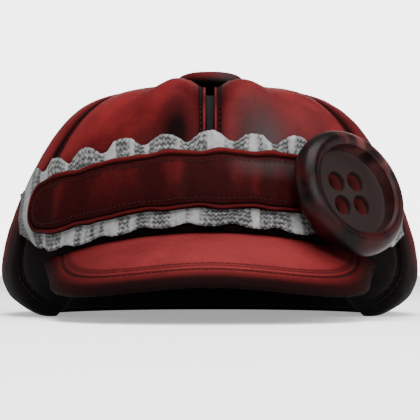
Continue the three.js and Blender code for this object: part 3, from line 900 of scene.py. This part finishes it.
def strap_edge(angle, v):
    pull = 0.35 * wave(angle * 360 / 11.5) + 0.2 * wave((angle + 20) * 360 / 6.7)
    slow = STRAP_EDGE_WAVE * wave(angle * 180 / GATHER_PITCH_ANGLE)
    return v * (slow + pull * np.abs(v) ** 3)


def strap_inset(flat_angle, v):
    """Distance to the strap's outline, in its own flat pattern."""
    past = STRAP_HALF_HEIGHT - (STRAP_END_ANGLE - np.abs(flat_angle)) * STRAP_END_SCALE
    past = np.maximum(0, past)
    half_height = np.sqrt(np.maximum(0, STRAP_HALF_HEIGHT**2 - past**2))
    return np.maximum(0, STRAP_HALF_HEIGHT - np.hypot(past, v * half_height))


def gathers(flat_angle, v, size, seed):
    """Uneven folds that run across the strap, from -1 to 1."""
    flow = np.stack([flat_angle, 1.2 * v, 0 * v], -1)
    return 1.6 * soft_noise(flow, size, seed)


def strap_place(across, up):
    """Where the strap lies and how far out, with its distance to the outline, its folds and v."""
    ends = (STRAP_END_COLUMNS, STRAP_END_ANGLE, STRAP_HALF_HEIGHT, STRAP_BLUNTNESS)
    flat_angle, angle, along, v = lay_band(across, up, STRAP_COLUMNS, *ends, strap_edge)
    inset = strap_inset(flat_angle, v)
    fold = 0.6 * gathers(flat_angle, v, 7.5, 2) + 0.5 * gathers(flat_angle, v, 3.2, 5)
    pucker = gathers(flat_angle, v, 1.7, 9) * (1 - smooth_step(inset, 4, 10))
    inside = smooth_step(inset, 3.0, 6.0)
    relief = 0.75 * bump_at(inset, 1.25, 0.95) - 0.9 * bump_at(inset, CORD_GROOVE, 0.38)
    relief += inside * (0.75 * fold + 0.3 * pucker) + 0.45 * smooth_step(inset, 3.4, 9)
    relief -= 0.5 * (1 - smooth_step(inset, 0, 0.9))
    return angle, along, STRAP_BASE + 0.3 + relief, inset, fold, v


def lay_strap(across, up):
    angle, along, depth, inset, fold, v = strap_place(across, up)
    points = off_crown(angle, along, depth)
    # painted light and shade: lit and shaded gathers, a painted highlight on the bead, painted shade in
    # the groove and at the outline, lighter towards the top
    inside = smooth_step(inset, 3.2, 7)
    bead = 0.24 - 0.14 * smooth_step(np.abs(angle), 40, 54)
    tone = 0.5 + 0.15 * fold * inside + bead * bump_at(inset, 1.2, 1.0)
    tone -= 0.5 * bump_at(inset, CORD_GROOVE, 0.4)
    tone -= 0.1 * (1 - smooth_step(inset, 4, 8)) * inside
    tone += 0.12 * smooth_step(v, -0.8, 0.6) - 0.5 * (1 - smooth_step(inset, 0, 0.6))
    # a painted greyish sheen on the strap's upper right
    bloom = 0.55 * smooth_step(angle, 2, 12) * smooth_step(v, -0.1, 0.6) * inside
    cloth = np.stack([angle * 2.0, v * STRAP_HALF_HEIGHT], -1) / 1000
    return to_frame(points), cloth, {"tone": np.clip(tone, 0.02, 1), "bloom": bloom}


strap = cloth_grid(STRAP_COLUMNS, STRAP_ROWS, lay_strap)
wall = STRAP_THICKNESS / 1000
make_piece(strap, "gathered_strap", strap_leather, ["strap"], wall=wall)

# %% Strap stitches
def strap_stitches():
    bm = bmesh.new()
    spread = np.linspace(0, 1, STRAP_COLUMNS + 1)
    rows = np.linspace(0, 1, 241)
    across, up = np.meshgrid(spread, rows, indexing="ij")
    places = strap_place(across.ravel(), up.ravel())[:4]
    angle, along, depth, inset = (values.reshape(across.shape) for values in places)
    run = np.arange(len(spread))
    count = 0
    for half in (slice(0, 121), slice(120, 241)):  # one row of stitches below, one above
        off = np.abs(inset[:, half] - STITCHES_FROM_EDGE)
        nearest = off.argmin(1)
        found = off.min(1) < 0.3
        a, t, d = (table[:, half][run, nearest][found] for table in (angle, along, depth))
        points = to_frame(off_crown(a, t, d + 0.05))
        count += sew(bm, points, normal_of(crown, a, t), 0.0026, 0.0017, 0.00028)
    print("stitches round the strap", count)
    return bm


make_piece(strap_stitches(), "strap_stitches", light_thread)

# %% [markdown]
# ## Large button
# The button is moulded: a fat rim round a sunk face with four drilled holes. A profile is spun into
# the body, and four cutters with flared mouths are taken out of it, so each hole has a soft edge.

# %% Button sizes and profile
BUTTON_ANGLE, BUTTON_ALONG = 33.0, 0.475
BUTTON_RADIUS, BUTTON_HEIGHT = 32.5, 16.0
BUTTON_FACE_RADIUS, BUTTON_FACE_HEIGHT = 22.5, 8.0
BUTTON_HOLE_RADIUS, BUTTON_HOLE_CIRCLE, BUTTON_TURN = 4.9, 8.8, -5
SPIN_STEPS, HOLE_STEPS = 96, 32

# The rim's section: shares of the button's radius and height.
RIM = [(0.62, 0), (0.85, 0.08), (0.97, 0.28), (1, 0.52), (0.96, 0.78), (0.87, 0.96)]
RIM += [(0.79, 1), (0.72, 0.92)]


def spun(profile, steps):
    """A closed solid of revolution round Z from (radius, height) pairs in millimetres."""
    bm = bmesh.new()
    line = [bm.verts.new((r / 1000, 0, h / 1000)) for r, h in profile]
    edges = [bm.edges.new(pair) for pair in zip(line, line[1:])]
    turn = {"cent": (0, 0, 0), "axis": (0, 0, 1), "angle": math.tau, "steps": steps}
    bmesh.ops.spin(bm, geom=line + edges, use_merge=True, **turn)
    bmesh.ops.remove_doubles(bm, verts=bm.verts, dist=1e-6)
    bmesh.ops.recalc_face_normals(bm, faces=bm.faces)
    return bm


def smooth_profile(points, count):
    """More points on a smooth curve through the given ones."""
    points = np.array(points, float)
    return through_rows(points, np.linspace(0, len(points) - 1, count)).tolist()


# %% Button body with its holes
def cut_button():
    face, hole = BUTTON_FACE_HEIGHT, BUTTON_HOLE_RADIUS
    rim = [(r * BUTTON_RADIUS, h * BUTTON_HEIGHT) for r, h in RIM]
    profile = [(0, 0), (12, 0), *smooth_profile(rim, 40)]
    profile += [(BUTTON_FACE_RADIUS + 0.4, face + 3), (BUTTON_FACE_RADIUS - 0.3, face + 0.7)]
    profile += [(BUTTON_FACE_RADIUS - 1.5, face), (11, face + 0.2), (0, face + 0.3)]
    body = add_object(spun(profile, SPIN_STEPS), "button_body")
    hole_profile = [(0, -5), (hole, -5)]
    hole_profile += [(hole, face - depth) for depth in (6, 3.2, 2.9, 2.4, 1.9, 1.6, 0.5)]
    hole_profile += [(hole + 0.35, face + 0.05), (hole + 1.2, face + 1.6), (0, face + 1.6)]
    cutters = bmesh.new()
    for quarter in range(4):
        turn = math.radians(BUTTON_TURN + 90 * quarter)
        one = spun(hole_profile, HOLE_STEPS)
        move = Vector((math.cos(turn), math.sin(turn), 0)) * BUTTON_HOLE_CIRCLE / 1000
        bmesh.ops.translate(one, verts=one.verts, vec=move)
        spare = bpy.data.meshes.new("spare")
        one.to_mesh(spare)
        one.free()
        cutters.from_mesh(spare)
        bpy.data.meshes.remove(spare)
    cutter = add_object(cutters, "button_holes")
    drill = body.modifiers.new("drill", "BOOLEAN")
    drill.object = cutter
    drill.solver = "EXACT"
    view = bpy.context.evaluated_depsgraph_get()
    drilled = bpy.data.meshes.new_from_object(body.evaluated_get(view))
    bpy.data.objects.remove(body)
    bpy.data.objects.remove(cutter)
    bm = bmesh.new()
    bm.from_mesh(drilled)
    bpy.data.meshes.remove(drilled)
    bmesh.ops.remove_doubles(bm, verts=bm.verts, dist=1e-6)
    return bm


# %% Button place and finish
def button_matrix():
    """Stands the button on the strap, square to the crown below it."""
    normal = normal_of(plain_crown, BUTTON_ANGLE, BUTTON_ALONG)
    foot = plain_crown(BUTTON_ANGLE, BUTTON_ALONG) + (STRAP_BASE + GATHER_DEPTH + FIT) * normal
    turn = Vector((0, 0, 1)).rotation_difference(Vector(normal))
    return Matrix.Translation(to_frame(foot)) @ turn.to_matrix().to_4x4()


def button_material():
    bench = Bench("dark_moulded_button", 0.34, specular=0.08)
    rim = bench.kept("rim")
    swirl = bench.clouds(70, 3.0)
    face = bench.mix(swirl, (0.007, 0.004, 0.0038), (0.015, 0.0088, 0.0082))
    black, red, highlight_red = (0.0016, 0.0004, 0.0004), (0.016, 0.0013, 0.0013), (0.11, 0.034, 0.034)
    edge = bench.mix(swirl.between(0.35, 0.65), black, red)
    # a painted highlight on the top of the rim
    edge = bench.mix(bench.kept("worn") * swirl.between(0.3, 0.6), edge, highlight_red)
    solid = bench.mix(rim, face, edge)
    # the holes' deep walls are painted the lit red of the strap seen through them
    bench.set("Base Color", bench.mix(bench.kept("bore"), solid, (0.075, 0.014, 0.013)))
    scratch = bench.clouds(900, 2.0)
    bench.set("Roughness", scratch * 0.12 + swirl * 0.1 + 0.26 + (1 - rim) * 0.16)
    bench.raise_by(swirl + scratch * 0.2, 0.00015, 0.5)
    return bench.material


def place_button():
    bm = cut_button()
    rim, bore, worn = (bm.verts.layers.float.new(name) for name in ("rim", "bore", "worn"))
    for v in bm.verts:
        radius = math.hypot(v.co.x, v.co.y) * 1000
        v[rim] = float(smooth_step(radius, BUTTON_FACE_RADIUS - 1.5, BUTTON_FACE_RADIUS + 2))
        # painted highlight on the top of the rim
        v[worn] = float(smooth_step(v.co.y * 1000, 14, 29))
        # where the holes' walls get the painted lit red
        depth = BUTTON_FACE_HEIGHT - v.co.z * 1000 if radius < BUTTON_FACE_RADIUS - 2 else 0
        v[bore] = float(smooth_step(depth, 1.9, 2.9))
    bmesh.ops.transform(bm, matrix=button_matrix(), verts=bm.verts)
    piece = make_piece(bm, "four_hole_button", button_material(), ["side_button"])
    piece.data.set_sharp_from_angle(angle=math.radians(40))


place_button()

# %% [markdown]
# ## Top button
# A wooden form covered in leather. The leather is pulled round to the underside, where its pleats
# show as shallow furrows.


# %% Top button piece
TOP_BUTTON_RADIUS, TOP_BUTTON_HEIGHT = 18.5, 10.0
TOP_STEM_RADIUS, TOP_STEM_LENGTH = 6.0, 3.0
TOP_PLEATS = 24

# The dome's section: shares of its radius and height.
DOME = [(0.55, 0), (0.82, 0.06), (0.96, 0.22), (1, 0.4), (0.94, 0.62), (0.78, 0.82)]
DOME += [(0.5, 0.95), (0, 1)]


def covered_button():
    dome = smooth_profile([(r * TOP_BUTTON_RADIUS, h * TOP_BUTTON_HEIGHT) for r, h in DOME], 36)
    dome[-1][0] = 0
    stem = [(0, -TOP_STEM_LENGTH), (TOP_STEM_RADIUS, -TOP_STEM_LENGTH), (TOP_STEM_RADIUS, 0)]
    bm = spun([*stem, *dome], SPIN_STEPS)
    tone, bloom = (bm.verts.layers.float.new(name) for name in ("tone", "bloom"))
    for v in bm.verts:
        radius, height = math.hypot(v.co.x, v.co.y) * 1000, v.co.z * 1000
        turn = math.atan2(v.co.y, v.co.x)
        low = 1 - float(smooth_step(height, 1.5, 5.5))
        if radius > TOP_STEM_RADIUS + 1:
            pleat = 1 - 0.022 * low * (0.5 + 0.5 * math.cos(turn * TOP_PLEATS))
            v.co.x *= pleat
            v.co.y *= pleat
        # painted shade below, painted light on top
        v[tone] = 0.05 + 0.8 * float(smooth_step(height, 2.2, 8.5))
        # a painted greyish sheen on one side
        patch = bump_at(turn, -0.9, 0.5) * smooth_step(height, 2, 6) * smooth_step(radius, 6, 12)
        v[bloom] = 0.7 * float(patch)
    move = to_frame(np.array([0, 0, CROWN_HEIGHT + FIT]))
    bmesh.ops.translate(bm, verts=bm.verts, vec=move)
    return bm


make_piece(covered_button(), "covered_top_button", crown_leather, ["top_button"])

# %% [markdown]
# ## Stage
# A plain pale floor, a bright backdrop, soft lights and a camera low in front of the cap, a little
# under its middle, so that the inside shows below the peak. The camera is 1.1 m away, which gives the
# photograph's perspective, and stands 30 mm above the floor.


# %% Floor and backdrop
def stage_sheet(name, size, place, bench, shade, glow):
    """A square, size metres from its middle to its edges, that shines a little of its own."""
    bm = bmesh.new()
    bmesh.ops.create_grid(bm, x_segments=1, y_segments=1, size=size, matrix=place)
    bench.set("Base Color", (shade, shade, shade, 1))
    bench.set("Emission Color", (1, 1, 1, 1))
    bench.set("Emission Strength", glow)
    sheet = add_object(bm, name)
    sheet.data.materials.append(bench.material)
    return sheet


floor_bench = Bench("pale_floor", 0.9, specular=0.1)
floor = stage_sheet("floor", 6, Matrix(), floor_bench, shade=0.93, glow=0.4)

upright = Matrix.Translation((0, 2.6, 0.45)) @ Matrix.Rotation(math.pi / 2, 4, "X")
backdrop_bench = Bench("lit_backdrop", 1.0, specular=0.0)
backdrop = stage_sheet("backdrop", 0.5, upright, backdrop_bench, shade=0.9, glow=3.4)
print("stage", floor.name, backdrop.name)

# %% Lights
LIGHTS = [  # name, place, size and power
    ("top", (0.0, -0.3, 1.5), 1.0, 40),
    ("front", (0.2, -1.5, 0.9), 0.9, 36),
    ("right", (0.75, -0.75, 0.45), 0.4, 5),
    ("left_side", (-1.1, -0.1, 0.4), 0.5, 2),
    ("right_side", (1.1, 0.1, 0.4), 0.5, 2),
]
middle = Vector((0, CROWN_MIDDLE_Y, 0.07))
for name, place, size, power in LIGHTS:
    lamp = bpy.data.lights.new(name, "AREA")
    lamp.size, lamp.energy = size, power
    light = bpy.data.objects.new(name, lamp)
    light.location = place
    light.rotation_euler = (middle - Vector(place)).to_track_quat("-Z", "Y").to_euler()
    bpy.context.scene.collection.objects.link(light)

world = bpy.data.worlds.new("studio")
world.use_nodes = True
sky = world.node_tree.nodes["Background"].inputs
sky["Color"].default_value = (1, 1, 1, 1)
sky["Strength"].default_value = 0.35
bpy.context.scene.world = world
print("lights", [name for name, *_ in LIGHTS])

# %% Camera
CAMERA_DISTANCE, CAMERA_HEIGHT, PHOTO_WIDTH = 1.1, 0.030, 0.2276
AIM_HEIGHT, SENSOR_WIDTH = 0.0564, 36
camera_data = bpy.data.cameras.new("camera")
camera_data.sensor_width = SENSOR_WIDTH
camera_data.sensor_fit = "HORIZONTAL"
camera_data.lens = SENSOR_WIDTH * CAMERA_DISTANCE / PHOTO_WIDTH
camera = bpy.data.objects.new("camera", camera_data)
camera.location = (0, CROWN_MIDDLE_Y - CAMERA_DISTANCE, CAMERA_HEIGHT)
tilt = math.atan2(AIM_HEIGHT - CAMERA_HEIGHT, CAMERA_DISTANCE)
camera.rotation_euler = (math.pi / 2 + tilt, 0, 0)
bpy.context.scene.collection.objects.link(camera)
bpy.context.scene.camera = camera
print("camera, focal length", round(camera_data.lens, 1))
